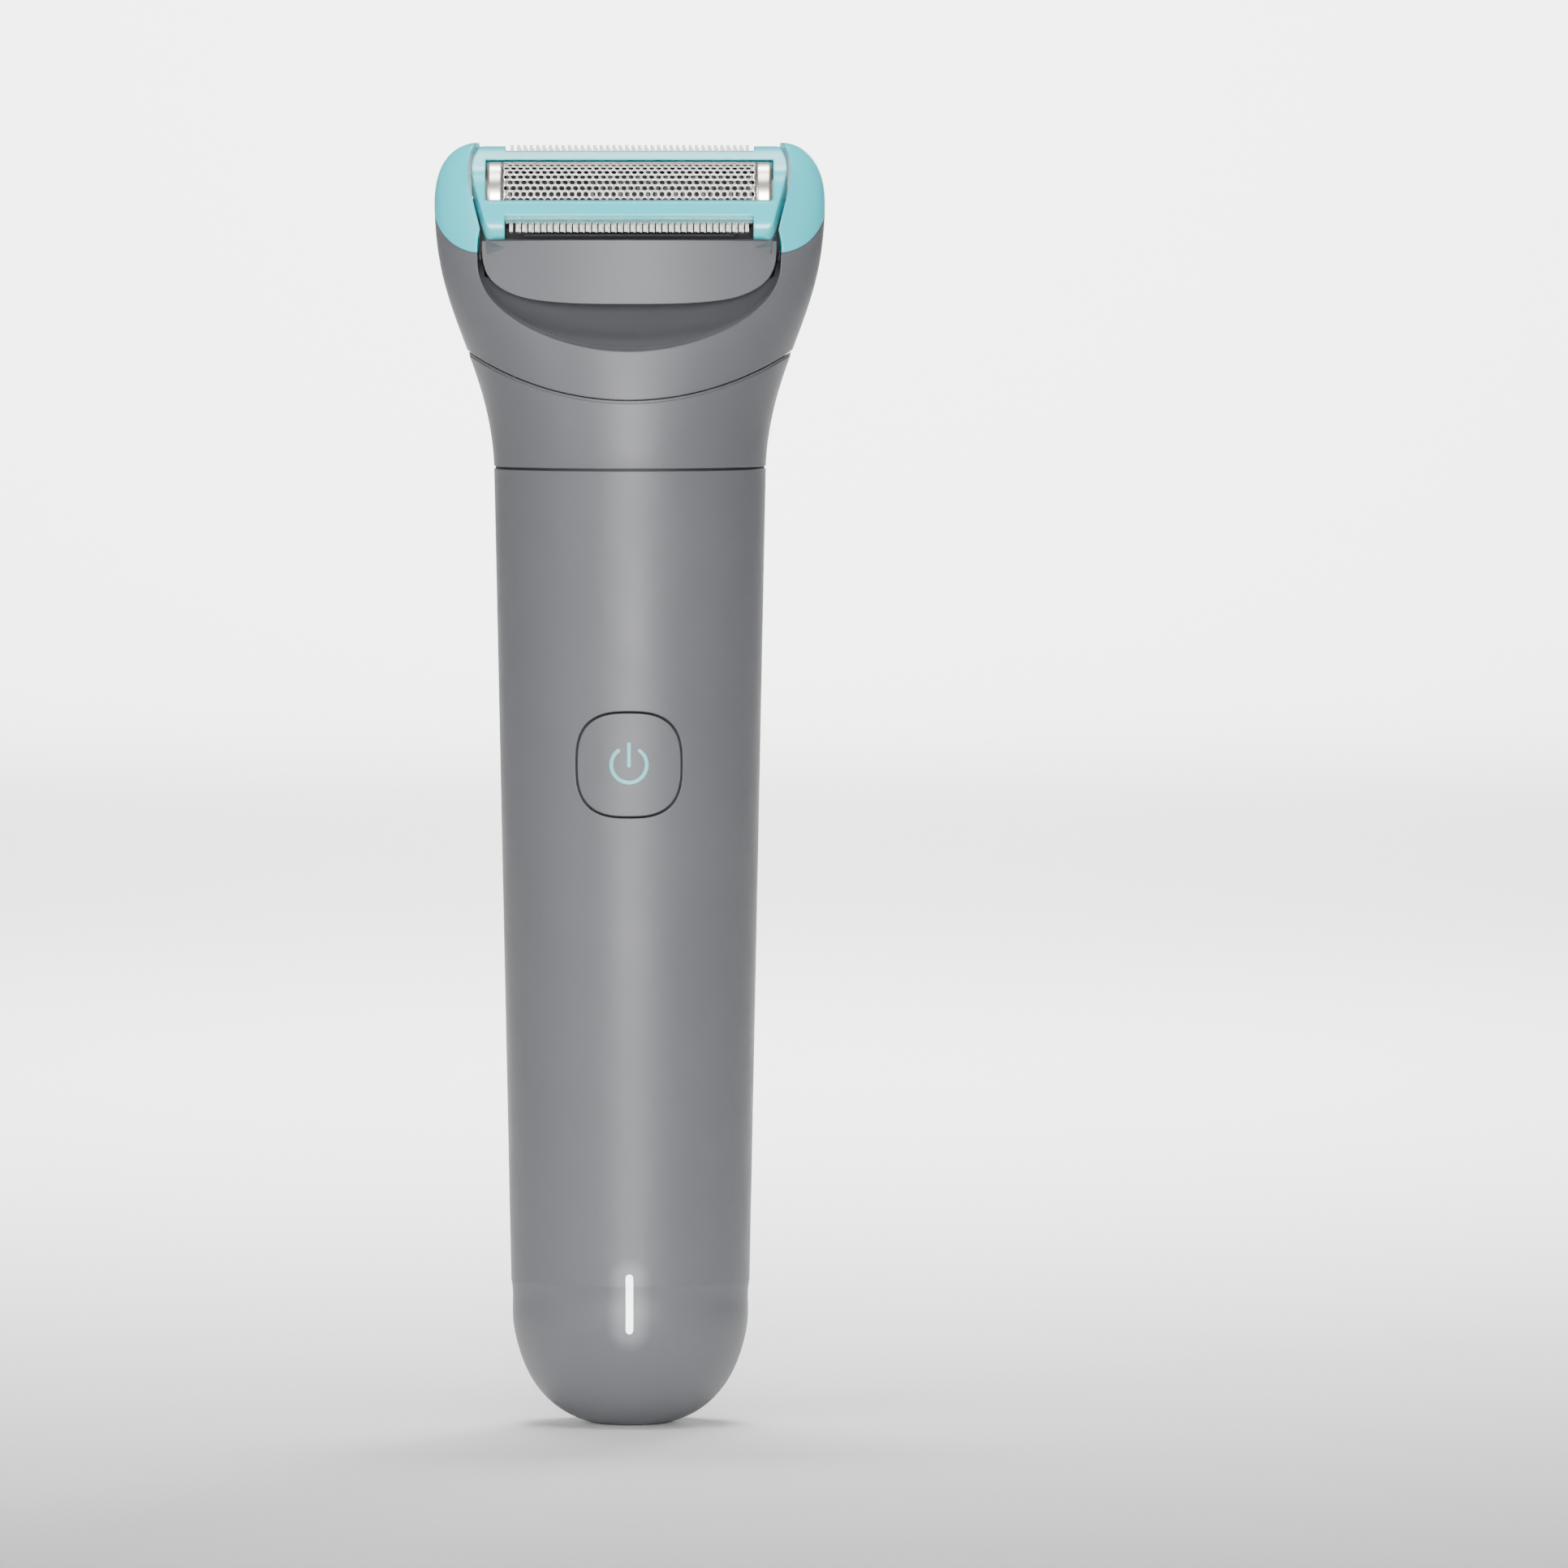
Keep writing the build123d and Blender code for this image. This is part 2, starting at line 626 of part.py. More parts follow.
def scoop():
    """The recess under the head's chin: Y, lowest height, half width and power of each section."""
    centre = 153.6
    with BuildPart(mode=Mode.PRIVATE) as block:
        for y, lowest, half_width, power in (
            (-17.0, 140.3, 20.0, 2.0),
            (-8.0, 144.9, 19.8, 2.8),
            (-4.2, 150.5, 19.6, 3.0),
        ):
            with BuildSketch(FRONT.offset(-y)):
                with BuildLine():
                    Spline(*superellipse(half_width, centre - lowest, power, centre), periodic=True)
                make_face()
        loft()
    return block.part


def above_cap_line(gap):
    """The region of the end caps: above an arc that swings from the arm's side to its inner edge."""
    inner, outer = CAP_ARC_X - 0.2, CAP_ARC_X + CAP_ARC_R
    middle = CAP_ARC_R * cos(radians(45))
    centre = up(CAP_ARC_HEIGHT) + gap
    with BuildPart(mode=Mode.PRIVATE) as block:
        with BuildSketch(FRONT):
            for side in (-1, 1):
                with BuildLine():
                    ThreePointArc(
                        (side * outer, centre),
                        (side * (CAP_ARC_X + middle), centre - middle),
                        (side * CAP_ARC_X, centre - CAP_ARC_R),
                    )
                    Polyline(
                        (side * CAP_ARC_X, centre - CAP_ARC_R),
                        (side * inner, centre - CAP_ARC_R),
                        (side * inner, up(170)),
                        (side * outer, up(170)),
                        (side * outer, centre),
                    )
                make_face()
        extrude(amount=30, both=True)
    return block.part


BACK_WALL_HEIGHT = 154.5
with BuildPart() as pocket:
    add(barrel(0))
    add(face_outline(0, -12, 12), mode=Mode.INTERSECT)

with BuildPart() as yoke:
    add(NECK_OUTER)
    add(below_parting(0), mode=Mode.SUBTRACT)
    add(pocket.part, mode=Mode.SUBTRACT)
    add(scoop(), mode=Mode.SUBTRACT)
    add(face_outline(0, 4, 20), mode=Mode.SUBTRACT)
    with BuildSketch(FRONT):
        with Locations((0, up(BACK_WALL_HEIGHT) + 15)):
            RectangleRounded(38.0, 30.0, 4.0)
    extrude(amount=30, both=True, mode=Mode.SUBTRACT)
    # bores for the two pivot pins
    with BuildSketch(PIVOT_SIDE):
        Circle(PIN_R + 0.02)
    extrude(amount=PIN_OUTER, both=True, mode=Mode.SUBTRACT)

with BuildPart() as cradle_hollow:
    add(NECK_INNER)
    with BuildSketch(level(130)):
        Rectangle(60, 60)
    extrude(amount=9.8, mode=Mode.INTERSECT)

with BuildPart() as head_cradle:
    add(yoke.part)
    add(above_cap_line(-0.05), mode=Mode.SUBTRACT)
    add(cradle_hollow.part, mode=Mode.SUBTRACT)
    # the skirt that stands on the motor mount inside the collar
    with BuildSketch(level(MOTOR_TOP + MOUNT_THICKNESS)):
        Ellipse(15.3, 12.2)
    extrude(amount=11.5)
    with BuildSketch(level(MOTOR_TOP + MOUNT_THICKNESS)):
        Ellipse(14.1, 11.0)
    extrude(amount=10.7, mode=Mode.SUBTRACT)
    # the hollow for the drive
    with BuildSketch(level(139)):
        with Locations((0, 2.2)):
            RectangleRounded(25.0, 13.8, 5.0)
    extrude(amount=CEILING - 139, mode=Mode.SUBTRACT)
    with BuildSketch(level(CEILING - 1)):
        with Locations((0, PIVOT_Y)):
            RectangleRounded(5.4, 3.4, 1.2)
    extrude(amount=5, mode=Mode.SUBTRACT)
save(head_cradle, "head_cradle")

for name, side in (("left_end_cap", -1), ("right_end_cap", 1)):
    with BuildPart() as end_cap:
        add(yoke.part)
        add(above_cap_line(0), mode=Mode.INTERSECT)
        with BuildSketch(Plane.YZ):
            Rectangle(400, 400)
        extrude(amount=side * 60, mode=Mode.INTERSECT)
    save(end_cap, name)

with BuildPart() as pivot_pins:
    for side in (-1, 1):
        with BuildSketch(PIVOT_SIDE.offset(side * PIN_INNER)):
            Circle(PIN_R)
        extrude(amount=side * (PIN_OUTER - PIN_INNER))
save(pivot_pins, "pivot_pins")

# ---- tilting chamber with the chin --------------------------------------------------------------
HEAD_GAP = 0.45  # between the head's ends and the arms
CHAMBER_R = 8.6
CHAMBER_BORE_R = 7.2
CHAMBER_INSIDE = 17.2
CHIN_HALF, CHIN_TOP, CHIN_BOTTOM, CHIN_POWER = 19.2, 155.6, 147.1, 3.5
BUSH_R = 2.5
# the chin's side profile about the pivot: Y and Z from the pivot axis
CHIN_PROFILE = [
    (-12.0, -3.45),
    (-6.7, -3.75),
    (-3.0, -4.0),
    (-2.0, -7.2),
    (-5.7, -7.7),
    (-6.6, -12.6),
    (-12.0, -12.6),
]
CHIN_FRONT = -13.2  # of the chin's front, carried down to the level the bow is drawn on
CHIN_BOW_R = 60.0  # the chin's front is slightly bowed
CHIN_LEAN = 6.5  # and leans back by this angle

CHIN_BOW = Plane(
    origin=(0, CHIN_FRONT + CHIN_BOW_R, up(140)),
    x_dir=(1, 0, 0),
    z_dir=(0, sin(radians(CHIN_LEAN)), cos(radians(CHIN_LEAN))),
)
with BuildPart() as chin:
    with BuildSketch(FRONT):
        with BuildLine():
            Spline(*superellipse(CHIN_HALF, CHIN_TOP - CHIN_BOTTOM, CHIN_POWER, CHIN_TOP), periodic=True)
        make_face()
    extrude(amount=20)
    with BuildSketch(PIVOT_SIDE):
        with BuildLine():
            Polyline(*CHIN_PROFILE, close=True)
        make_face()
    extrude(amount=30, both=True, mode=Mode.INTERSECT)
    with BuildSketch(CHIN_BOW):
        Circle(CHIN_BOW_R)
    extrude(amount=30, mode=Mode.INTERSECT)

with BuildPart() as head_chamber:
    add(barrel(0.4))
    add(face_outline(HEAD_GAP, -12, 12), mode=Mode.INTERSECT)
    with BuildSketch(PIVOT_SIDE):
        Circle(CHAMBER_R)
    extrude(amount=30, both=True, mode=Mode.INTERSECT)
    with BuildSketch(HEAD.offset(FRAME_BASE - SLIP)):
        Rectangle(60, 60)
    extrude(amount=20, mode=Mode.SUBTRACT)
    add(chin.part)
    with BuildSketch(PIVOT_SIDE):
        Circle(CHAMBER_BORE_R)
    extrude(amount=CHAMBER_INSIDE, both=True, mode=Mode.SUBTRACT)
    with BuildSketch(PIVOT_SIDE):
        Circle(BUSH_R)
    extrude(amount=30, both=True, mode=Mode.SUBTRACT)
    with BuildSketch(level(148)):
        with Locations((0, PIVOT_Y)):
            RectangleRounded(5.4, 7.2, 1.5)
    extrude(amount=6, mode=Mode.SUBTRACT)
save(head_chamber, "head_chamber")

with BuildPart() as pivot_bushes:
    for side in (-1, 1):
        with BuildSketch(PIVOT_SIDE.offset(side * CHAMBER_INSIDE)):
            Circle(BUSH_R)
            Circle(PIN_R + RUNNING_CLEARANCE, mode=Mode.SUBTRACT)
        extrude(amount=side * 2.9)
save(pivot_bushes, "pivot_bushes")

with BuildPart() as tilt_springs:
    for side in (-1, 1):
        with BuildLine() as coil:
            Helix(
                pitch=0.55,
                height=1.6,
                radius=1.9,
                center=HEAD.origin + Vector(side * 15.4, 0, 0),
                direction=(side, 0, 0),
            )
        with BuildSketch(Plane(origin=coil.line @ 0, z_dir=coil.line % 0)):
            Circle(0.2)
        sweep(path=coil.line)
save(tilt_springs, "tilt_springs")

with BuildPart() as head_catches:
    for side in (-1, 1):
        with BuildSketch(HEAD.offset(FRAME_BASE - SLIP)):
            with Locations((side * 19.2, 0)):
                Rectangle(0.5, 3.6)
        extrude(amount=1.9)
        with BuildSketch(HEAD.offset(FRAME_BASE + 1.3)):
            with Locations((side * 18.9, 0)):
                Rectangle(0.6, 3.6)
        extrude(amount=0.5)
save(head_catches, "head_catches")

# ---- foil unit: frame, foil and the two toothed guards ------------------------------------------
# half of the frame's side profile, from the middle outwards and down: Y and Z in the head's frame
FRAME_CROWN = [
    (0, 7.3),
    (3.33, 6.5),
    (5.42, 5.85),
    (6.6, 5.3),
    (7.2, 4.7),
    (7.4, 4.1),
    (7.2, 3.3),
    (6.9, FRAME_BASE),
]
FRAME_HALF_DEPTH = 7.4
with BuildPart() as frame_plan:
    with BuildSketch(HEAD.offset(FRAME_BASE)) as frame_plan_sketch:
        with BuildLine():
            right_end = face_ends(HEAD_GAP)
            left_end = [(-x, y) for x, y in right_end]
            Spline(*right_end)
            Spline(*left_end)
            Line(right_end[0], left_end[0])
            Line(right_end[-1], left_end[-1])
        make_face()
        Rectangle(60, 2 * FRAME_HALF_DEPTH, mode=Mode.INTERSECT)
        # the notches that the trimmers lie in, between the four horns
        for side in (-1, 1):
            with Locations((0, side * (BAR_EDGE + 3))):
                Rectangle(2 * NOTCH_HALF_LENGTH, 6.0, mode=Mode.SUBTRACT)
        outer_corners = frame_plan_sketch.vertices().filter_by(lambda corner: abs(corner.X) > 17.5)
        notch_corners = frame_plan_sketch.vertices().filter_by(lambda corner: abs(corner.X) < 17.5)
        fillet(outer_corners, 1.9)
        fillet(notch_corners, 0.75)
    extrude(amount=10)

with BuildPart() as foil_frame:
    add(frame_plan.part)
    with BuildSketch(HEAD_SIDE):
        with BuildLine():
            back_half = [(y, z) for y, z in FRAME_CROWN[1:]]
            front_half = [(-y, z) for y, z in reversed(back_half)]
            Spline(*front_half, FRAME_CROWN[0], *back_half)
            Line(front_half[0], back_half[-1])
        make_face()
    extrude(amount=30, both=True, mode=Mode.INTERSECT)
    # the foil's own seat, open below
    with BuildSketch(HEAD_SIDE):
        with Locations((0, FOIL_AXIS)):
            Circle(FOIL_R + 0.25)
        with Locations((0, 1.5)):
            Rectangle(2 * (FOIL_R + 0.25), 3.0)
    extrude(amount=WINDOW_HALF_LENGTH, both=True, mode=Mode.SUBTRACT)
    # room for the cutter under the two long bars
    with BuildSketch(HEAD.offset(2)):
        Rectangle(2 * NOTCH_HALF_LENGTH, 20)
    extrude(amount=BAR_UNDERSIDE - 2, mode=Mode.SUBTRACT)
    # pockets for the catches
    with BuildSketch(HEAD.offset(2)):
        with GridLocations(38.2, 1, 2, 1):
            Rectangle(1.3, 4.4)
    extrude(amount=3.0, mode=Mode.SUBTRACT)
save(foil_frame, "foil_frame")

with BuildPart() as shaving_foil:
    with BuildSketch(HEAD_SIDE):
        with Locations((0, FOIL_AXIS)):
            Circle(FOIL_R)
            Circle(FOIL_R - FOIL_THICKNESS, mode=Mode.SUBTRACT)
        with Locations((0, FOIL_AXIS - 8)):
            Rectangle(20, 16 + 2 * 1.95, mode=Mode.SUBTRACT)
    extrude(amount=FOIL_HALF_LENGTH, both=True)
save(shaving_foil, "shaving_foil")


def comb(side, bottom, thickness, half_length, tip, shift):
    """A flat toothed plate along one edge of the shaving face, with its teeth pointing outwards."""
    root_inner, root_outer = 4.98, 5.85
    count = int(2 * half_length / TOOTH_PITCH)
    with BuildPart(mode=Mode.PRIVATE) as plate:
        with BuildSketch(HEAD.offset(bottom)):
            with Locations((0, side * (root_inner + root_outer) / 2)):
                Rectangle(2 * half_length, root_outer - root_inner)
            with Locations((shift, side * (root_outer + tip) / 2)):
                with GridLocations(TOOTH_PITCH, 1, count, 1):
                    Rectangle(0.44, tip - root_outer + 0.1)
        extrude(amount=thickness)
    return plate.part


GUARD_BOTTOM = BAR_UNDERSIDE - PLATE_THICKNESS
BLADE_BOTTOM = GUARD_BOTTOM - 0.03 - BLADE_THICKNESS
for name, side in (("front_trimmer_guard", -1), ("rear_trimmer_guard", 1)):
    with BuildPart() as guard:
        add(comb(side, GUARD_BOTTOM, PLATE_THICKNESS, 16.1, 7.25, 0))
    save(guard, name)

for name, side in (("front_trimmer_blade", -1), ("rear_trimmer_blade", 1)):
    with BuildPart() as blade:
        add(comb(side, BLADE_BOTTOM, BLADE_THICKNESS, 15.1, 7.05, TOOTH_PITCH / 4))
    save(blade, name)

# ---- cutter: bridge, springs and the block under the foil ---------------------------------------
BRIDGE_BOTTOM, BRIDGE_TOP = 1.6, 2.4
BRIDGE_HALF = 13.8
with BuildPart() as cutter_bridge:
    with BuildSketch(HEAD.offset(BRIDGE_BOTTOM)):
        Rectangle(2 * BRIDGE_HALF, 12.0)
    extrude(amount=BRIDGE_TOP - BRIDGE_BOTTOM)
    with BuildSketch(HEAD.offset(BRIDGE_TOP)):
        with GridLocations(1, 10.9, 1, 2):
            Rectangle(2 * BRIDGE_HALF, 0.85)
    extrude(amount=BLADE_BOTTOM - BRIDGE_TOP)
    with BuildSketch(HEAD.offset(-1.3)):
        with GridLocations(2 * (BALL_R + RUNNING_CLEARANCE) + 1.0, 1, 2, 1):
            Rectangle(1.0, 3.8)
    extrude(amount=BRIDGE_BOTTOM + 1.3)
save(cutter_bridge, "cutter_bridge")

BLOCK_R, BLOCK_BOTTOM, BLOCK_HALF = 4.4, 3.15, 16.0
SPRING_X, SPRING_POCKET_R, SPRING_TOP = 9.0, 1.7, 4.0
LAMELLA_PITCH = 1.2
with BuildPart() as cutter_block:
    with BuildSketch(HEAD_SIDE):
        with Locations((0, FOIL_AXIS)):
            Circle(BLOCK_R)
        with Locations((0, BLOCK_BOTTOM - 10)):
            Rectangle(20, 20, mode=Mode.SUBTRACT)
    extrude(amount=BLOCK_HALF, both=True)
    with BuildSketch(HEAD.offset(4.6)):
        with GridLocations(LAMELLA_PITCH, 1, 26, 1):
            Rectangle(0.75, 12)
    extrude(amount=5, mode=Mode.SUBTRACT)
    with BuildSketch(HEAD.offset(BLOCK_BOTTOM)):
        with GridLocations(2 * SPRING_X, 1, 2, 1):
            Circle(SPRING_POCKET_R)
    extrude(amount=SPRING_TOP - BLOCK_BOTTOM, mode=Mode.SUBTRACT)
save(cutter_block, "cutter_block")

with BuildPart() as cutter_springs:
    for side in (-1, 1):
        start = HEAD.from_local_coords((side * SPRING_X, 0, BRIDGE_TOP + 0.17))
        with BuildLine() as coil:
            Helix(pitch=0.45, height=1.25, radius=1.35, center=start, direction=HEAD.z_dir)
        with BuildSketch(Plane(origin=coil.line @ 0, z_dir=coil.line % 0)):
            Circle(0.15)
        sweep(path=coil.line)
save(cutter_springs, "cutter_springs")
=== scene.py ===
# %% [markdown]
# # A cordless body groomer
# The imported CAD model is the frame: every solid already stands in its place, in metres, with the
# handle along +Z and the front facing -Y. This file gives each solid its finish and adds what solids
# are too coarse for: the holes in the shaving foil and the printed power symbol.

import json
from math import cos, pi, radians, sin

import bpy
import numpy as np
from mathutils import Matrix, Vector


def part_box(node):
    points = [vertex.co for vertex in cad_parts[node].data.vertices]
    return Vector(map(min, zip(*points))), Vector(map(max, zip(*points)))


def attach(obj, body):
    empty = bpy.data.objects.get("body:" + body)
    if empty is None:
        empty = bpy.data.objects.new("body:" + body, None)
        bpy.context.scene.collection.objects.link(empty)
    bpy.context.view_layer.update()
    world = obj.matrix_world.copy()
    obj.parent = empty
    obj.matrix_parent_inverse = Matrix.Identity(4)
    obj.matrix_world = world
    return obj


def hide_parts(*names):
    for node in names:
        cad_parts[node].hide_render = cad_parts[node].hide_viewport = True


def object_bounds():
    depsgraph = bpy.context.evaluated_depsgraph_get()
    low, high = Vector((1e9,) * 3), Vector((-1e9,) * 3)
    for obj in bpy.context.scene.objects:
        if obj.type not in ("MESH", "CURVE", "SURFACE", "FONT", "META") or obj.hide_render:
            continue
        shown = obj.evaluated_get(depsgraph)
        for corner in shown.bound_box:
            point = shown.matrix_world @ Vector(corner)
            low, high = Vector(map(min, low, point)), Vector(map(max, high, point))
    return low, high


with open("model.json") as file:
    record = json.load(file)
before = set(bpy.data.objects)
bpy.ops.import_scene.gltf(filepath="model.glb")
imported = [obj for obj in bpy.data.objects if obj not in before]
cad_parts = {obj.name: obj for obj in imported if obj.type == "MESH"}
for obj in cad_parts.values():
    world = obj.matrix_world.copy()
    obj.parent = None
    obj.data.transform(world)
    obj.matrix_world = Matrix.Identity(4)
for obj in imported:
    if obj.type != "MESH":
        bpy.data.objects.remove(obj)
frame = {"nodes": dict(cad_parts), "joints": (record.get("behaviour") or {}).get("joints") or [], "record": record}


def plain(bounds):
    """A pair of corners as plain lists of numbers."""
    return [[float(number) for number in corner] for corner in bounds]


cad_box = plain(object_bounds())
nodes = frame["nodes"]
joints = {joint["name"]: joint for joint in frame["joints"]}
print("CAD box in mm", [[round(1000 * number, 1) for number in corner] for corner in cad_box])

# %% [markdown]
# ## Two small tools
# Paint and plastic colours are easiest to name as sRGB hex values, while Blender's shaders count in
# linear light, so one function turns the first into the second. A second function adds a shader node
# with its settings and links, which keeps each finish down to a few readable lines.


# %% Colours and nodes
def linear(hex_colour):
    """The linear RGBA of an sRGB hex colour: each channel c becomes ((c + 0.055) / 1.055) ^ 2.4."""
    channels = np.array([int(hex_colour[i : i + 2], 16) for i in (1, 3, 5)]) / 255
    low, high = channels / 12.92, ((channels + 0.055) / 1.055) ** 2.4
    return (*np.where(channels <= 0.04045, low, high), 1.0)


def node(tree, kind, settings=None, **links):
    """Adds one shader node. settings are its properties, links are its sockets' values or sources."""
    added = tree.nodes.new(kind)
    for name, value in (settings or {}).items():
        setattr(added, name, value)
    for name, value in links.items():
        key = int(name[1:]) if name[0] == "i" and name[1:].isdigit() else name.replace("_", " ")
        socket = added.inputs[key]
        if isinstance(value, bpy.types.NodeSocket):
            tree.links.new(value, socket)
        else:
            socket.default_value = value
    return added


def finish(name, colour, **values):
    """A named material with a Principled shader, its tree, and the Object coordinates."""
    material = bpy.data.materials.new(name)
    material.use_nodes = True
    tree = material.node_tree
    tree.nodes.clear()
    shader = node(tree, "ShaderNodeBsdfPrincipled", Base_Color=linear(colour), **values)
    output = node(tree, "ShaderNodeOutputMaterial", Surface=shader.outputs["BSDF"])
    place = node(tree, "ShaderNodeTexCoord").outputs["Object"]
    return material, tree, shader, place, output


# %% [markdown]
# ## Moulded grey plastic
# The grip, the neck and the chin are injection-moulded ABS. The mould is spark-eroded, which leaves a
# grain of about 0.12 mm. It breaks the highlight up into a soft sheen. A second, much larger pattern
# changes the roughness a little, as handling does. A Bevel node rounds the shading along every edge by
# 0.25 mm, because no moulded edge is truly sharp.

# %% Grey ABS
MM = 0.001
GRAIN = 0.22 * MM  # the real grain is about 0.12 mm; drawn a little coarser so that it shows


def moulded(name, colour, roughness, grain_height, edge, light_colour=None, **values):
    """Moulded plastic: even colour with a faint drift, fine grain in the bump, softened edges."""
    material, tree, shader, place, _ = finish(name, colour, Roughness=roughness, **values)
    grain = node(tree, "ShaderNodeTexNoise", Vector=place, Scale=1 / GRAIN, Detail=2.0)
    drift = node(tree, "ShaderNodeTexNoise", Vector=place, Scale=1 / (14 * MM), Detail=3.0)
    rough = node(tree, "ShaderNodeMapRange", Value=drift.outputs["Fac"])
    rough.inputs["From Min"].default_value = 0.3
    rough.inputs["From Max"].default_value = 0.7
    rough.inputs["To Min"].default_value = roughness - 0.035
    rough.inputs["To Max"].default_value = roughness + 0.035
    tree.links.new(rough.outputs["Result"], shader.inputs["Roughness"])
    tone = node(tree, "ShaderNodeMix", {"data_type": "RGBA"}, Factor=drift.outputs["Fac"])
    tone.inputs[6].default_value = linear(colour)
    tone.inputs[7].default_value = linear(light_colour or colour)
    tree.links.new(tone.outputs[2], shader.inputs["Base Color"])
    rounded = node(tree, "ShaderNodeBevel", {"samples": 6}, Radius=edge)
    bump = node(tree, "ShaderNodeBump", Distance=grain_height, Height=grain.outputs["Fac"])
    tree.links.new(rounded.outputs["Normal"], bump.inputs["Normal"])
    tree.links.new(bump.outputs["Normal"], shader.inputs["Normal"])
    return material


grey_abs = moulded("spark_grained_grey_ABS", "#58595D", 0.46, 0.004 * MM, 0.2 * MM, "#5C5D61", IOR=1.5)
teal_abs = moulded("polished_teal_ABS", "#36CFDB", 0.24, 0.0012 * MM, 0.45 * MM, "#3DD4E0", IOR=1.52)
print("moulded plastics:", grey_abs.name, teal_abs.name)

# %% [markdown]
# ## Steel, rubber and the small inner finishes
# The foil and the trimmers are stainless steel, ground along their length, so their fine scratches run
# one way. Rubber is almost black and very rough. What is inside keeps a simple finish of its own.


# %% Metals and rubber
def ground_steel(name, colour, roughness, scratch_spacing, stretch):
    """Ground stainless steel: scratches are noise that is stretched along the grinding direction."""
    material, tree, shader, place, _ = finish(name, colour, Metallic=1.0, Roughness=roughness)
    squeezed = node(tree, "ShaderNodeMapping", Vector=place, Scale=stretch)
    scratches = node(tree, "ShaderNodeTexNoise", Vector=squeezed.outputs["Vector"], Detail=3.0)
    scratches.inputs["Scale"].default_value = 1 / scratch_spacing
    rough = node(tree, "ShaderNodeMapRange", Value=scratches.outputs["Fac"])
    rough.inputs["To Min"].default_value = roughness - 0.08
    rough.inputs["To Max"].default_value = roughness + 0.10
    tree.links.new(rough.outputs["Result"], shader.inputs["Roughness"])
    bump = node(tree, "ShaderNodeBump", Strength=0.6, Distance=0.002 * MM, Height=scratches.outputs["Fac"])
    tree.links.new(bump.outputs["Normal"], shader.inputs["Normal"])
    return material


foil_steel = ground_steel("rolled_stainless_foil", "#F2EEE4", 0.32, 0.12 * MM, (0.05, 1, 1))
blade_steel = ground_steel("ground_stainless_steel", "#96958F", 0.30, 0.08 * MM, (1, 0.1, 0.1))
can_steel = ground_steel("zinc_plated_steel", "#B9BABC", 0.34, 0.15 * MM, (1, 1, 0.1))
gold_plate = ground_steel("gold_plated_brass", "#E3B865", 0.22, 0.1 * MM, (1, 1, 0.2))
nickel_strip = ground_steel("nickel_strip", "#C9C5BA", 0.30, 0.1 * MM, (1, 1, 0.2))
black_rubber = moulded("black_silicone_rubber", "#17181A", 0.62, 0.003 * MM, 0.1 * MM, "#1C1D1F")
# dark grey ABS of the inner parts; the steel cutter wears it too, as painted shade under the foil
dark_abs_and_painted_shade = moulded("dark_grey_ABS_and_painted_shade", "#33353A", 0.48, 0.003 * MM, 0.15 * MM, "#383A3F")
acetal = moulded("natural_acetal", "#DEDCD5", 0.38, 0.001 * MM, 0.15 * MM, "#E2E0DA")
solder_mask = moulded("green_solder_mask", "#1E5A3A", 0.30, 0.001 * MM, 0.05 * MM, "#226040")
chip_epoxy = moulded("black_moulded_epoxy", "#202022", 0.50, 0.002 * MM, 0.05 * MM, "#242426")
sleeve_pvc = moulded("blue_shrink_sleeve", "#2F6FA6", 0.28, 0.001 * MM, 0.2 * MM, "#3373AA")
lens_resin = moulded("pale_lens_resin", "#F1EFE6", 0.22, 0.0005 * MM, 0.05 * MM, "#F3F1E9")
print("metals and inner finishes made")

# %% [markdown]
# ## The light bar
# A bar of clear polycarbonate carries the light of three small lamps to the front of the grip. It glows
# evenly. The grey plastic close to the bar is drawn brighter, as if some of its light leaked through the
# thin wall around it: that halo is painted light, an emission laid on the grey plastic by its distance
# from the bar, on the front only.

# %% Glowing bar
bar_low, bar_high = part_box("light_guide")
bar_centre = (bar_low + bar_high) / 2
bar_half = (bar_high.z - bar_low.z) / 2
lit_bar, _, lit_shader, _, _ = finish("frosted_polycarbonate_light_guide", "#FFFFFF", Roughness=0.3)
lit_shader.inputs["Emission Color"].default_value = linear("#F6FBFF")
lit_shader.inputs["Emission Strength"].default_value = 3.0

# painted glow: a copy of the grey plastic that emits a halo of light near the bar, fading with distance from it
painted_glow_abs = grey_abs.copy()
painted_glow_abs.name = "spark_grained_grey_ABS_with_painted_glow"
tree = painted_glow_abs.node_tree
shader = next(n for n in tree.nodes if n.type == "BSDF_PRINCIPLED")
place = next(n for n in tree.nodes if n.type == "TEX_COORD").outputs["Object"]
parts = node(tree, "ShaderNodeSeparateXYZ", Vector=place)
along = node(tree, "ShaderNodeMath", {"operation": "SUBTRACT"}, i0=parts.outputs["Z"], i1=bar_centre.z)
along = node(tree, "ShaderNodeMath", {"operation": "ABSOLUTE"}, i0=along.outputs[0])
along = node(tree, "ShaderNodeMath", {"operation": "SUBTRACT"}, i0=along.outputs[0], i1=bar_half - 0.5 * MM)
along = node(tree, "ShaderNodeMath", {"operation": "MAXIMUM"}, i0=along.outputs[0], i1=0.0)
flat = node(tree, "ShaderNodeCombineXYZ", X=parts.outputs["X"], Z=along.outputs[0])
reach = node(tree, "ShaderNodeVectorMath", {"operation": "LENGTH"}, i0=flat.outputs[0])
glow = node(tree, "ShaderNodeMapRange", {"interpolation_type": "SMOOTHERSTEP"}, Value=reach.outputs["Value"])
glow.inputs["From Min"].default_value = 3.4 * MM
glow.inputs["From Max"].default_value = 0.2 * MM
glow.inputs["To Max"].default_value = 0.26
front = node(tree, "ShaderNodeMath", {"operation": "LESS_THAN"}, i0=parts.outputs["Y"], i1=-8 * MM)
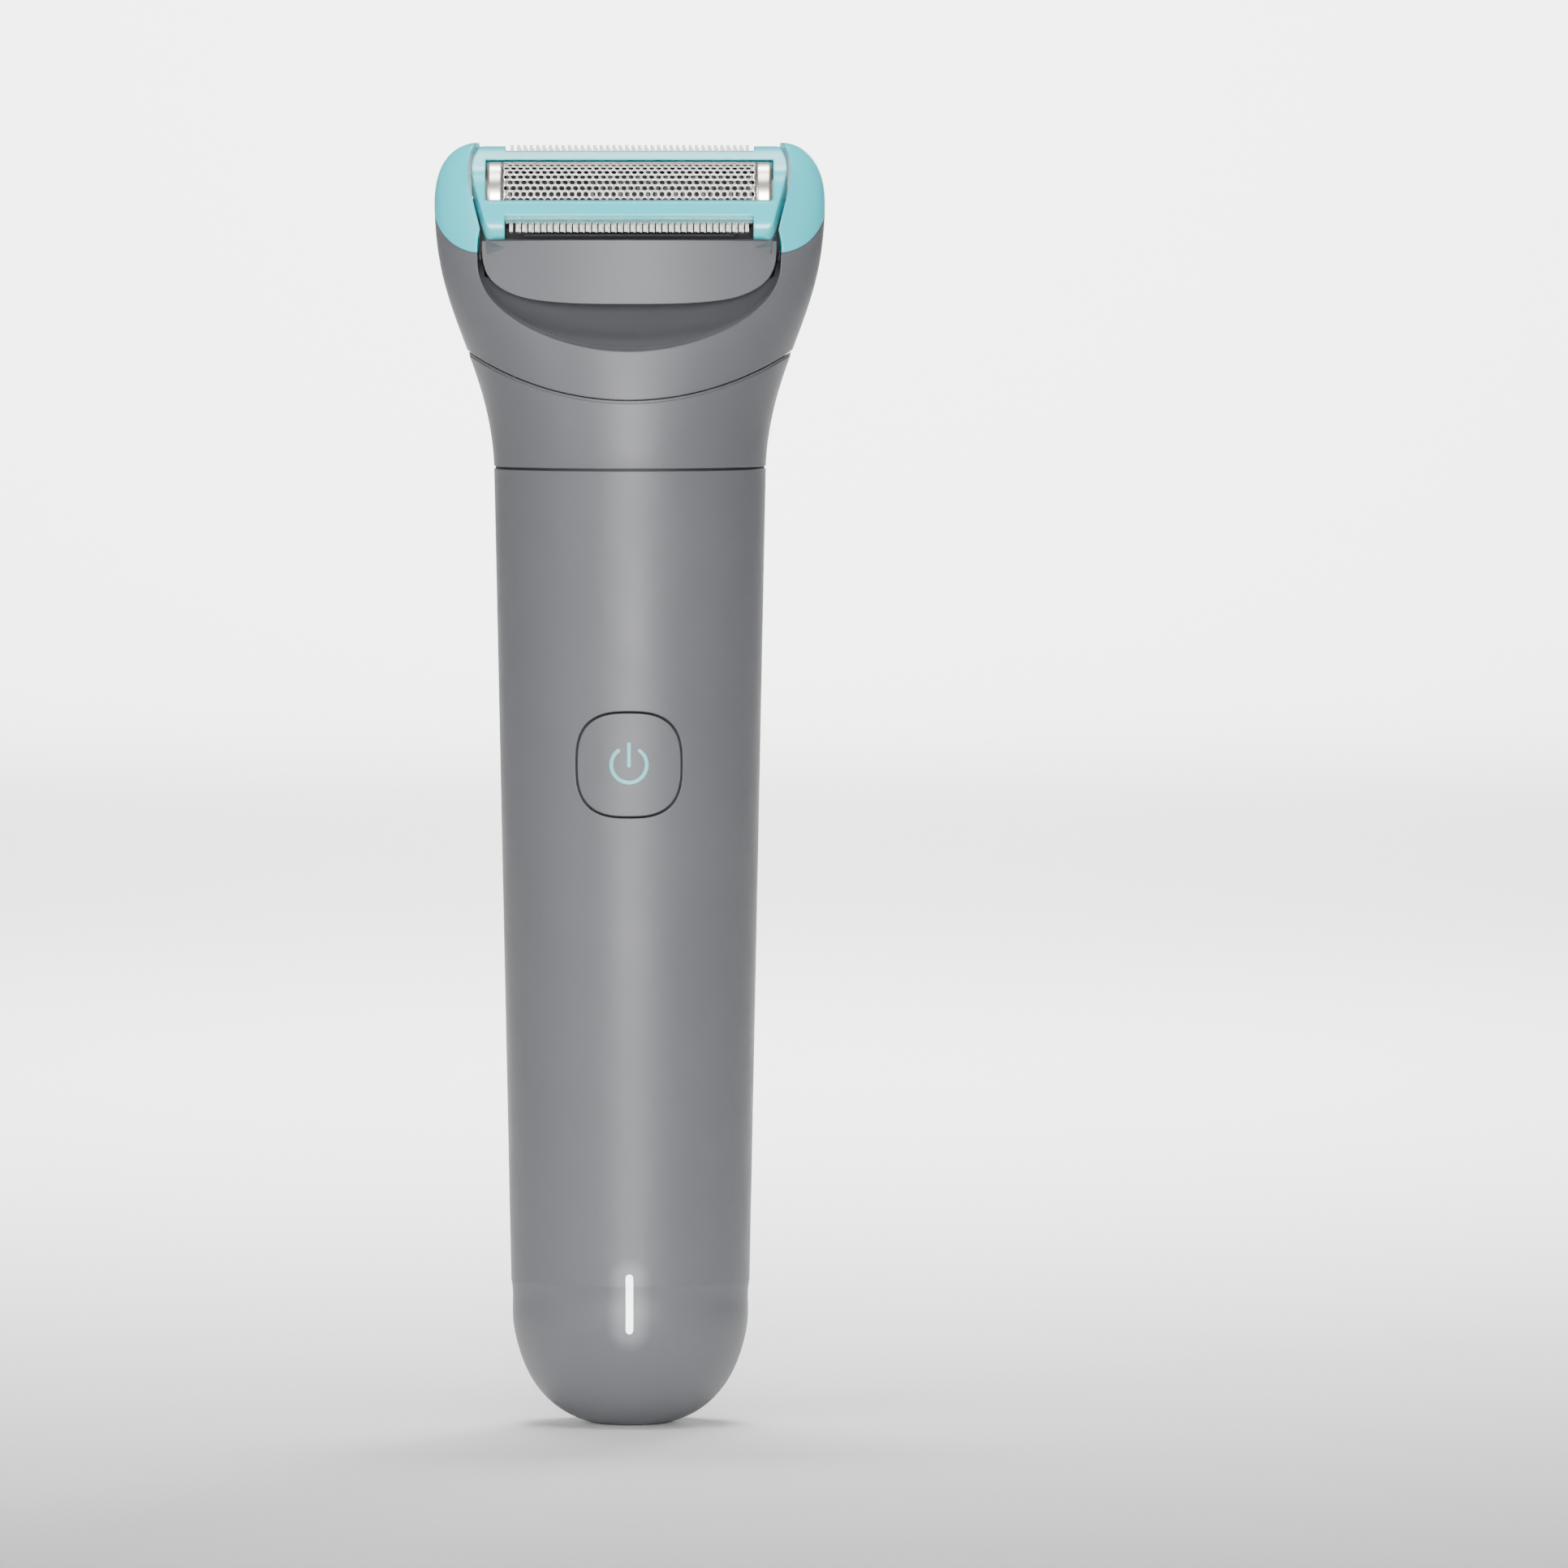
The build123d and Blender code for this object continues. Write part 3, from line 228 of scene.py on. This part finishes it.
times = {"operation": "MULTIPLY"}
strength = node(tree, "ShaderNodeMath", times, i0=glow.outputs["Result"], i1=front.outputs[0])
tree.links.new(strength.outputs[0], shader.inputs["Emission Strength"])
shader.inputs["Emission Color"].default_value = linear("#DDE4EC")
print("light bar", round(2000 * bar_half, 1), "mm long")

# %% [markdown]
# ## The polished recess
# The recess below the shaving face is polished in the mould, so it mirrors the studio softly while the
# skin around it stays satin. Seen from the front it is an ellipse; inside that ellipse the roughness
# drops and the grain fades out.

# %% Satin outside, polished inside
RECESS_CENTRE, RECESS_HALF_WIDTH, RECESS_HALF_HEIGHT = 83.6 * MM, 19.8 * MM, 12.15 * MM
recess_abs = grey_abs.copy()
recess_abs.name = "spark_grained_grey_ABS_with_polished_recess"
tree = recess_abs.node_tree
shader = next(n for n in tree.nodes if n.type == "BSDF_PRINCIPLED")
place = next(n for n in tree.nodes if n.type == "TEX_COORD").outputs["Object"]
grain_bump = next(n for n in tree.nodes if n.type == "BUMP")
satin = shader.inputs["Roughness"].links[0].from_socket
parts = node(tree, "ShaderNodeSeparateXYZ", Vector=place)
high = node(tree, "ShaderNodeMath", {"operation": "SUBTRACT"}, i0=parts.outputs["Z"], i1=RECESS_CENTRE)
high = node(tree, "ShaderNodeMath", {"operation": "DIVIDE"}, i0=high.outputs[0], i1=RECESS_HALF_HEIGHT)
wide = node(tree, "ShaderNodeMath", {"operation": "DIVIDE"}, i0=parts.outputs["X"], i1=RECESS_HALF_WIDTH)
flat = node(tree, "ShaderNodeCombineXYZ", X=wide.outputs[0], Y=high.outputs[0])
reach = node(tree, "ShaderNodeVectorMath", {"operation": "LENGTH"}, i0=flat.outputs[0])
inside = node(tree, "ShaderNodeMath", {"operation": "LESS_THAN"}, i0=reach.outputs["Value"], i1=1.0)
front = node(tree, "ShaderNodeMath", {"operation": "LESS_THAN"}, i0=parts.outputs["Y"], i1=0.0)
polished = node(tree, "ShaderNodeMath", {"operation": "MULTIPLY"}, i0=inside.outputs[0], i1=front.outputs[0])
gloss = node(tree, "ShaderNodeMix", i0=polished.outputs[0], i2=satin, i3=0.20)
tree.links.new(gloss.outputs[0], shader.inputs["Roughness"])
fade = node(tree, "ShaderNodeMath", {"operation": "SUBTRACT"}, i0=1.0, i1=polished.outputs[0])
tree.links.new(fade.outputs[0], grain_bump.inputs["Strength"])
print("recess", round(2000 * RECESS_HALF_WIDTH, 1), "mm wide")

# %% [markdown]
# ## Giving each solid its finish
# A solid keeps its own mesh; only the material in its first slot changes. The record's slot names say
# what each one is made of.

# %% Finishes by slot
finish_of_slot = {
    "grey_plastic": grey_abs,
    "teal_plastic": teal_abs,
    "foil_steel": foil_steel,
    "blade_steel": blade_steel,
    "dark_rubber": black_rubber,
    "light_guide_clear": lit_bar,
    "inner_plastic": dark_abs_and_painted_shade,
    "drive_plastic": acetal,
    "board_green": solder_mask,
    "chip_black": chip_epoxy,
    "battery_wrap": sleeve_pvc,
    "nickel_strip": nickel_strip,
    "gold_contact": gold_plate,
    "motor_can": can_steel,
    "screw_steel": can_steel,
    "spring_steel": can_steel,
    "led_body": lens_resin,
}
for entry in frame["record"]["subparts"]:
    solid = nodes[entry["node"]]
    solid.data.materials.clear()
    solid.data.materials.append(finish_of_slot[entry["material_slot"]])
# the front shell wears the grey plastic with the painted glow around the light bar
nodes["handle_front_shell"].data.materials[0] = painted_glow_abs
nodes["head_cradle"].data.materials[0] = recess_abs
# the cutter is steel, but it is drawn dark here as painted shade: the dark grey finish stands in for the shade
# under the foil, so that the holes above it read as holes
nodes["cutter_block"].data.materials[0] = dark_abs_and_painted_shade
print(len(nodes), "solids finished")

# %% [markdown]
# ## The head's own directions
# The shaving face leans forward. The foil unit lifts off along the face's normal, so that joint's axis
# gives the normal, and the tilt joint gives the pivot. Points on the face are then worked out as
# pivot + x across + y up the face + z out of it.

# %% Face directions
pivot = np.array(joints["head_tilt"]["pos_m"])
out = np.array(joints["foil_unit_release"]["axis"], float)
out = out / np.linalg.norm(out)
across = np.array([1.0, 0.0, 0.0])
upward = np.cross(out, across)
print("face normal", out.round(3), "up the face", upward.round(3))


def on_head(x, y, z):
    """Row positions of points given across, up and out of the shaving face, in metres."""
    return pivot + x[..., None] * across + y[..., None] * upward + z[..., None] * out


def mesh_piece(name, points, faces, material, body):
    """A finished piece from an array of points and a list of faces, riding on one body."""
    mesh = bpy.data.meshes.new(name)
    mesh.from_pydata(points.reshape(-1, 3).tolist(), [], faces)
    mesh.validate()
    mesh.polygons.foreach_set("use_smooth", np.ones(len(mesh.polygons), bool))
    mesh.materials.append(material)
    piece = bpy.data.objects.new(name, mesh)
    bpy.context.scene.collection.objects.link(piece)
    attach(piece, body)
    return piece


# %% [markdown]
# ## The perforated foil
# A shaving foil is electroformed nickel steel, 0.1 mm thin, with a field of round holes in staggered
# rows. It is bent over the cutter into part of a cylinder. Cutting hundreds of holes with booleans
# would be slow and fragile. Instead the flat sheet is a brick pattern of small cells: each cell is a
# ring of faces between a rectangle and a circle, and every second row is shifted by half a cell. The
# whole sheet is then rolled up: a point s along the arc goes to R sin(s/R) up the face and
# R cos(s/R) out of it.

# %% Foil cells
FOIL_R = 4.6 * MM
FOIL_AXIS = 3.0 * MM
HOLE_PITCH, ROW_PITCH, HOLE_R = 0.90 * MM, 0.80 * MM, 0.33 * MM
COLUMNS, ROWS = 36, 12
FIELD_HALF = COLUMNS * HOLE_PITCH / 2
FOIL_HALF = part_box("shaving_foil")[1].x
ARC_HALF = radians(65) * FOIL_R


def cell_rim(width, height):
    """16 points round a rectangle, anticlockwise from the middle of its right side."""
    x = np.array([1, 1, 1, 0.5, 0, -0.5, -1, -1, -1, -1, -1, -0.5, 0, 0.5, 1, 1]) * width / 2
    y = np.array([0, 0.5, 1, 1, 1, 1, 1, 0.5, 0, -0.5, -1, -1, -1, -1, -1, -0.5]) * height / 2
    return np.stack([x, y], -1)


def hole_rim(radius):
    """16 points round the hole, each in line with a point of the cell's rim."""
    rim = cell_rim(HOLE_PITCH, ROW_PITCH)
    return radius * rim / np.linalg.norm(rim, axis=-1, keepdims=True)


column, row = np.meshgrid(np.arange(COLUMNS), np.arange(ROWS), indexing="ij")
shift = np.where(row % 2 == 0, 0.25, -0.25)
centres = np.stack(
    [(column - (COLUMNS - 1) / 2 + shift) * HOLE_PITCH, (row - (ROWS - 1) / 2) * ROW_PITCH], -1
).reshape(-1, 1, 2)
rims = [centres + cell_rim(HOLE_PITCH, ROW_PITCH), centres + hole_rim(HOLE_R)]
sheet_points = np.concatenate(rims, axis=1)
ring = np.arange(16)
cell_faces = np.stack([ring, (ring + 1) % 16, 16 + (ring + 1) % 16, 16 + ring], -1)
field_faces = (cell_faces[None] + 32 * np.arange(len(centres))[:, None, None]).reshape(-1, 4)
print(len(centres), "holes in", ROWS, "rows")


# %% Plain borders of the foil
def grid_patch(x, s):
    """A rectangular patch of the flat sheet on the grid of the two arrays: points and faces."""
    grid = np.stack(np.meshgrid(x, s, indexing="ij"), -1)
    index = np.arange(len(x) * len(s)).reshape(len(x), len(s))
    faces = np.stack([index[:-1, :-1], index[1:, :-1], index[1:, 1:], index[:-1, 1:]], -1).reshape(-1, 4)
    return grid.reshape(-1, 2), faces


field_s = ROWS * ROW_PITCH / 2
row_lines = np.linspace(-field_s, field_s, 4 * ROWS + 1)
flat_sheets = [(sheet_points.reshape(-1, 2), field_faces)]
for side in (-1, 1):
    for k in range(ROWS):
        offset = 0.25 if k % 2 == 0 else -0.25
        edge = side * FIELD_HALF + offset * HOLE_PITCH
        end = side * (FIELD_HALF + 0.25 * HOLE_PITCH)
        if abs(end - edge) > 1e-9:
            near, far = sorted((edge, end))
            flat_sheets.append(grid_patch(np.linspace(near, far, 3), row_lines[4 * k : 4 * k + 5]))
    near, far = sorted((side * (FIELD_HALF + 0.25 * HOLE_PITCH), side * FOIL_HALF))
    flat_sheets.append(grid_patch(np.linspace(near, far, 5), row_lines))
    near, far = sorted((side * field_s, side * ARC_HALF))
    flat_sheets.append(grid_patch(np.linspace(-FOIL_HALF, FOIL_HALF, 120), np.linspace(near, far, 5)))

starts = np.cumsum([0] + [len(points) for points, _ in flat_sheets[:-1]])
flat_points = np.concatenate([points for points, _ in flat_sheets])
foil_faces = np.concatenate([faces + start for (_, faces), start in zip(flat_sheets, starts)])
angle = flat_points[:, 1] / FOIL_R
rolled = on_head(flat_points[:, 0], FOIL_R * np.sin(angle), FOIL_AXIS + FOIL_R * np.cos(angle))
foil = mesh_piece("perforated_foil", rolled, foil_faces.tolist(), foil_steel, "foil")
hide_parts("shaving_foil")
thickness = foil.modifiers.new("sheet thickness", "SOLIDIFY")
thickness.thickness = 0.10 * MM
thickness.offset = -1.0
print("foil", len(foil_faces), "faces")

# %% [markdown]
# ## The power symbol
# The symbol is pad-printed on the button in pale teal: a ring that is open at the top, and a short bar
# in the opening. A print has almost no thickness, so each stroke is a thin strip that follows the
# button's curved front. A round end is part of the strip's own formula: near its end the strip's width
# shrinks as the side of a half circle.

# %% Printed strokes
button_low, button_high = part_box("power_button")
symbol_height = (button_low.z + button_high.z) / 2
STROKE = 0.52 * MM
# the grip's straight stretch: its two ends, half its width there, and its depth over its width
GRIP_BOTTOM, GRIP_TOP = -51.0 * MM, 55.4 * MM
BOTTOM_HALF_WIDTH, TOP_HALF_WIDTH = 15.65 * MM, 17.8 * MM
DEPTH_RATIO = 0.86
RING_R = 2.31 * MM
print_ink = moulded("pad_printed_teal_ink", "#62BFC4", 0.40, 0.0005 * MM, 0.02 * MM, "#66C3C8")


def button_front(x, z):
    """The y of the grip's front at (x, z): an ellipse whose half width grows evenly with height."""
    share = (z - GRIP_BOTTOM) / (GRIP_TOP - GRIP_BOTTOM)
    half_width = BOTTOM_HALF_WIDTH + share * (TOP_HALF_WIDTH - BOTTOM_HALF_WIDTH)
    return -DEPTH_RATIO * half_width * np.sqrt(1 - (x / half_width) ** 2)


def stroke_piece(name, path, body):
    """A strip along a path of (x, z) points with round ends, lying just over the button."""
    step = np.gradient(path, axis=0)
    run = np.concatenate([[0], np.cumsum(np.linalg.norm(np.diff(path, axis=0), axis=-1))])
    normal = np.stack([-step[:, 1], step[:, 0]], -1) / np.linalg.norm(step, axis=-1, keepdims=True)
    left = np.clip(np.minimum(run, run[-1] - run), 0, STROKE / 2)
    half = np.sqrt(np.maximum((STROKE / 2) ** 2 - (STROKE / 2 - left) ** 2, 1e-14))
    side = np.linspace(-1, 1, 7)
    flat = path[:, None, :] + side[None, :, None] * (half[:, None] * normal)[:, None, :]
    y = button_front(flat[..., 0], flat[..., 1]) - 0.012 * MM
    points = np.stack([flat[..., 0], y, flat[..., 1]], -1)
    index = np.arange(points.shape[0] * points.shape[1]).reshape(points.shape[:2])
    faces = np.stack([index[:-1, :-1], index[:-1, 1:], index[1:, 1:], index[1:, :-1]], -1).reshape(-1, 4)
    piece = mesh_piece(name, points, faces.tolist(), print_ink, body)
    ink = piece.modifiers.new("ink thickness", "SOLIDIFY")
    ink.thickness = 0.02 * MM
    return piece


def dense_ends(length, count=72):
    """Distances along a stroke, closer together near its two ends."""
    share = (1 - np.cos(np.linspace(0, pi, count))) / 2
    return share * length


opening = radians(31)
turn = opening + (2 * pi - 2 * opening) * dense_ends(1.0, 120)
ring_path = np.stack([RING_R * np.sin(turn), symbol_height + RING_R * np.cos(turn)], -1)
bar_path = np.stack([0 * dense_ends(1.0), symbol_height + 2.95 * MM - dense_ends(3.3 * MM)], -1)
stroke_piece("power_symbol_ring", ring_path, "power_button")
stroke_piece("power_symbol_bar", bar_path, "power_button")
print("power symbol", round(2000 * (RING_R + STROKE / 2), 2), "mm across")

# %% [markdown]
# ## Floor, light and camera
# The groomer stands on a round pale floor that curves up into a wall all the way round, so that no
# horizon line shows from any side. One soft lamp in front gives the sheen down the middle of the grip,
# and four more light the foil, the back, the left side and the wall. Two lamps light the floor behind.


# %% Floor
def round_sweep(radius, bend, rise, spokes=96):
    """A round floor that turns up into a wall: a flat disc, a quarter circle, a straight wall, turned
    about the vertical through the origin."""
    turn = np.linspace(0, pi / 2, 17)
    r = np.concatenate([[0.001], radius - bend + bend * np.sin(turn), [radius]])
    z = np.concatenate([[0], bend - bend * np.cos(turn), [rise]]) + cad_box[0][2]
    angle = np.linspace(0, 2 * pi, spokes, endpoint=False)
    points = np.stack(
        [np.cos(angle)[:, None] * r, np.sin(angle)[:, None] * r, np.broadcast_to(z, (spokes, len(z)))], -1
    )
    index = np.arange(spokes * len(r)).reshape(spokes, len(r))
    after = np.roll(index, -1, axis=0)
    faces = np.stack([index[:, :-1], index[:, 1:], after[:, 1:], after[:, :-1]], -1).reshape(-1, 4)
    hub = index[:, 0].tolist()
    mesh = bpy.data.meshes.new("studio_floor")
    mesh.from_pydata(points.reshape(-1, 3).tolist(), [], faces.tolist() + [hub])
    mesh.polygons.foreach_set("use_smooth", np.ones(len(mesh.polygons), bool))
    floor = bpy.data.objects.new("studio_floor", mesh)
    bpy.context.scene.collection.objects.link(floor)
    return floor


paper, _, _, _, _ = finish("matt_white_paper", "#F4F4F3", Roughness=0.9)
floor = round_sweep(3.0, 0.8, 2.4)
floor.data.materials.append(paper)
print("floor at z", round(cad_box[0][2], 4))


# %% Lights
def soft_lamp(name, place, target, size, power, spread=180):
    """A rectangular area lamp turned to face a target; spread narrows its beam, in degrees."""
    lamp = bpy.data.lights.new(name, "AREA")
    lamp.shape = "RECTANGLE"
    lamp.size, lamp.size_y = size
    lamp.energy = power
    lamp.spread = radians(spread)
    stand = bpy.data.objects.new(name, lamp)
    stand.location = place
    stand.rotation_euler = (Vector(target) - Vector(place)).to_track_quat("-Z", "Y").to_euler()
    bpy.context.scene.collection.objects.link(stand)
    return stand


soft_lamp("front_softbox", (0.02, -1.5, 0.12), (0, 0, 0.02), (0.34, 0.5), 4.0, 60)
soft_lamp("left_softbox", (-0.9, -0.9, 0.35), (0, 0, 0.05), (0.12, 0.5), 0.5, 60)
soft_lamp("top_softbox", (0.0, -0.28, 0.95), (0, 0, 0.09), (0.55, 0.4), 0.75, 60)
soft_lamp("rear_softbox", (0.5, 1.2, 0.5), (0, 0, 0.02), (0.3, 0.5), 0.7, 60)
soft_lamp("backdrop_lamp", (0, 1.9, 1.2), (0, 2.9, 0.15), (0.7, 0.4), 32, 110)
soft_lamp("floor_lamp", (0, 0.6, 1.0), (0, 0.62, -0.07), (0.5, 0.8), 8, 60)
soft_lamp("far_floor_lamp", (0, 1.5, 1.1), (0, 1.7, -0.07), (0.5, 0.9), 20, 110)
world = bpy.data.worlds.new("studio")
bpy.context.scene.world = world
world.use_nodes = True
world.node_tree.nodes["Background"].inputs["Color"].default_value = linear("#FFFFFF")
world.node_tree.nodes["Background"].inputs["Strength"].default_value = 0.03
print("seven soft lamps and a dim world")

# %% [markdown]
# ## Camera
# The view is almost flat, as from far away with a long lens: 2 m off, 2.8 degrees above level. The
# frame is 205.5 mm high at the groomer, which stands left of its middle.

# %% Camera
VIEW_HEIGHT = 205.5 * MM
DISTANCE = 2.0
rise = radians(2.8)
aim = Vector((20.16 * MM, 0, 14.0 * MM))
camera_data = bpy.data.cameras.new("camera")
camera_data.sensor_width = 36
camera_data.lens = 36 * DISTANCE / VIEW_HEIGHT
camera_data.clip_end = 20
camera = bpy.data.objects.new("camera", camera_data)
camera.location = aim + DISTANCE * Vector((0, -cos(rise), sin(rise)))
camera.rotation_euler = (aim - camera.location).to_track_quat("-Z", "Y").to_euler()
bpy.context.scene.collection.objects.link(camera)
bpy.context.scene.camera = camera
print("lens", round(camera_data.lens), "mm")
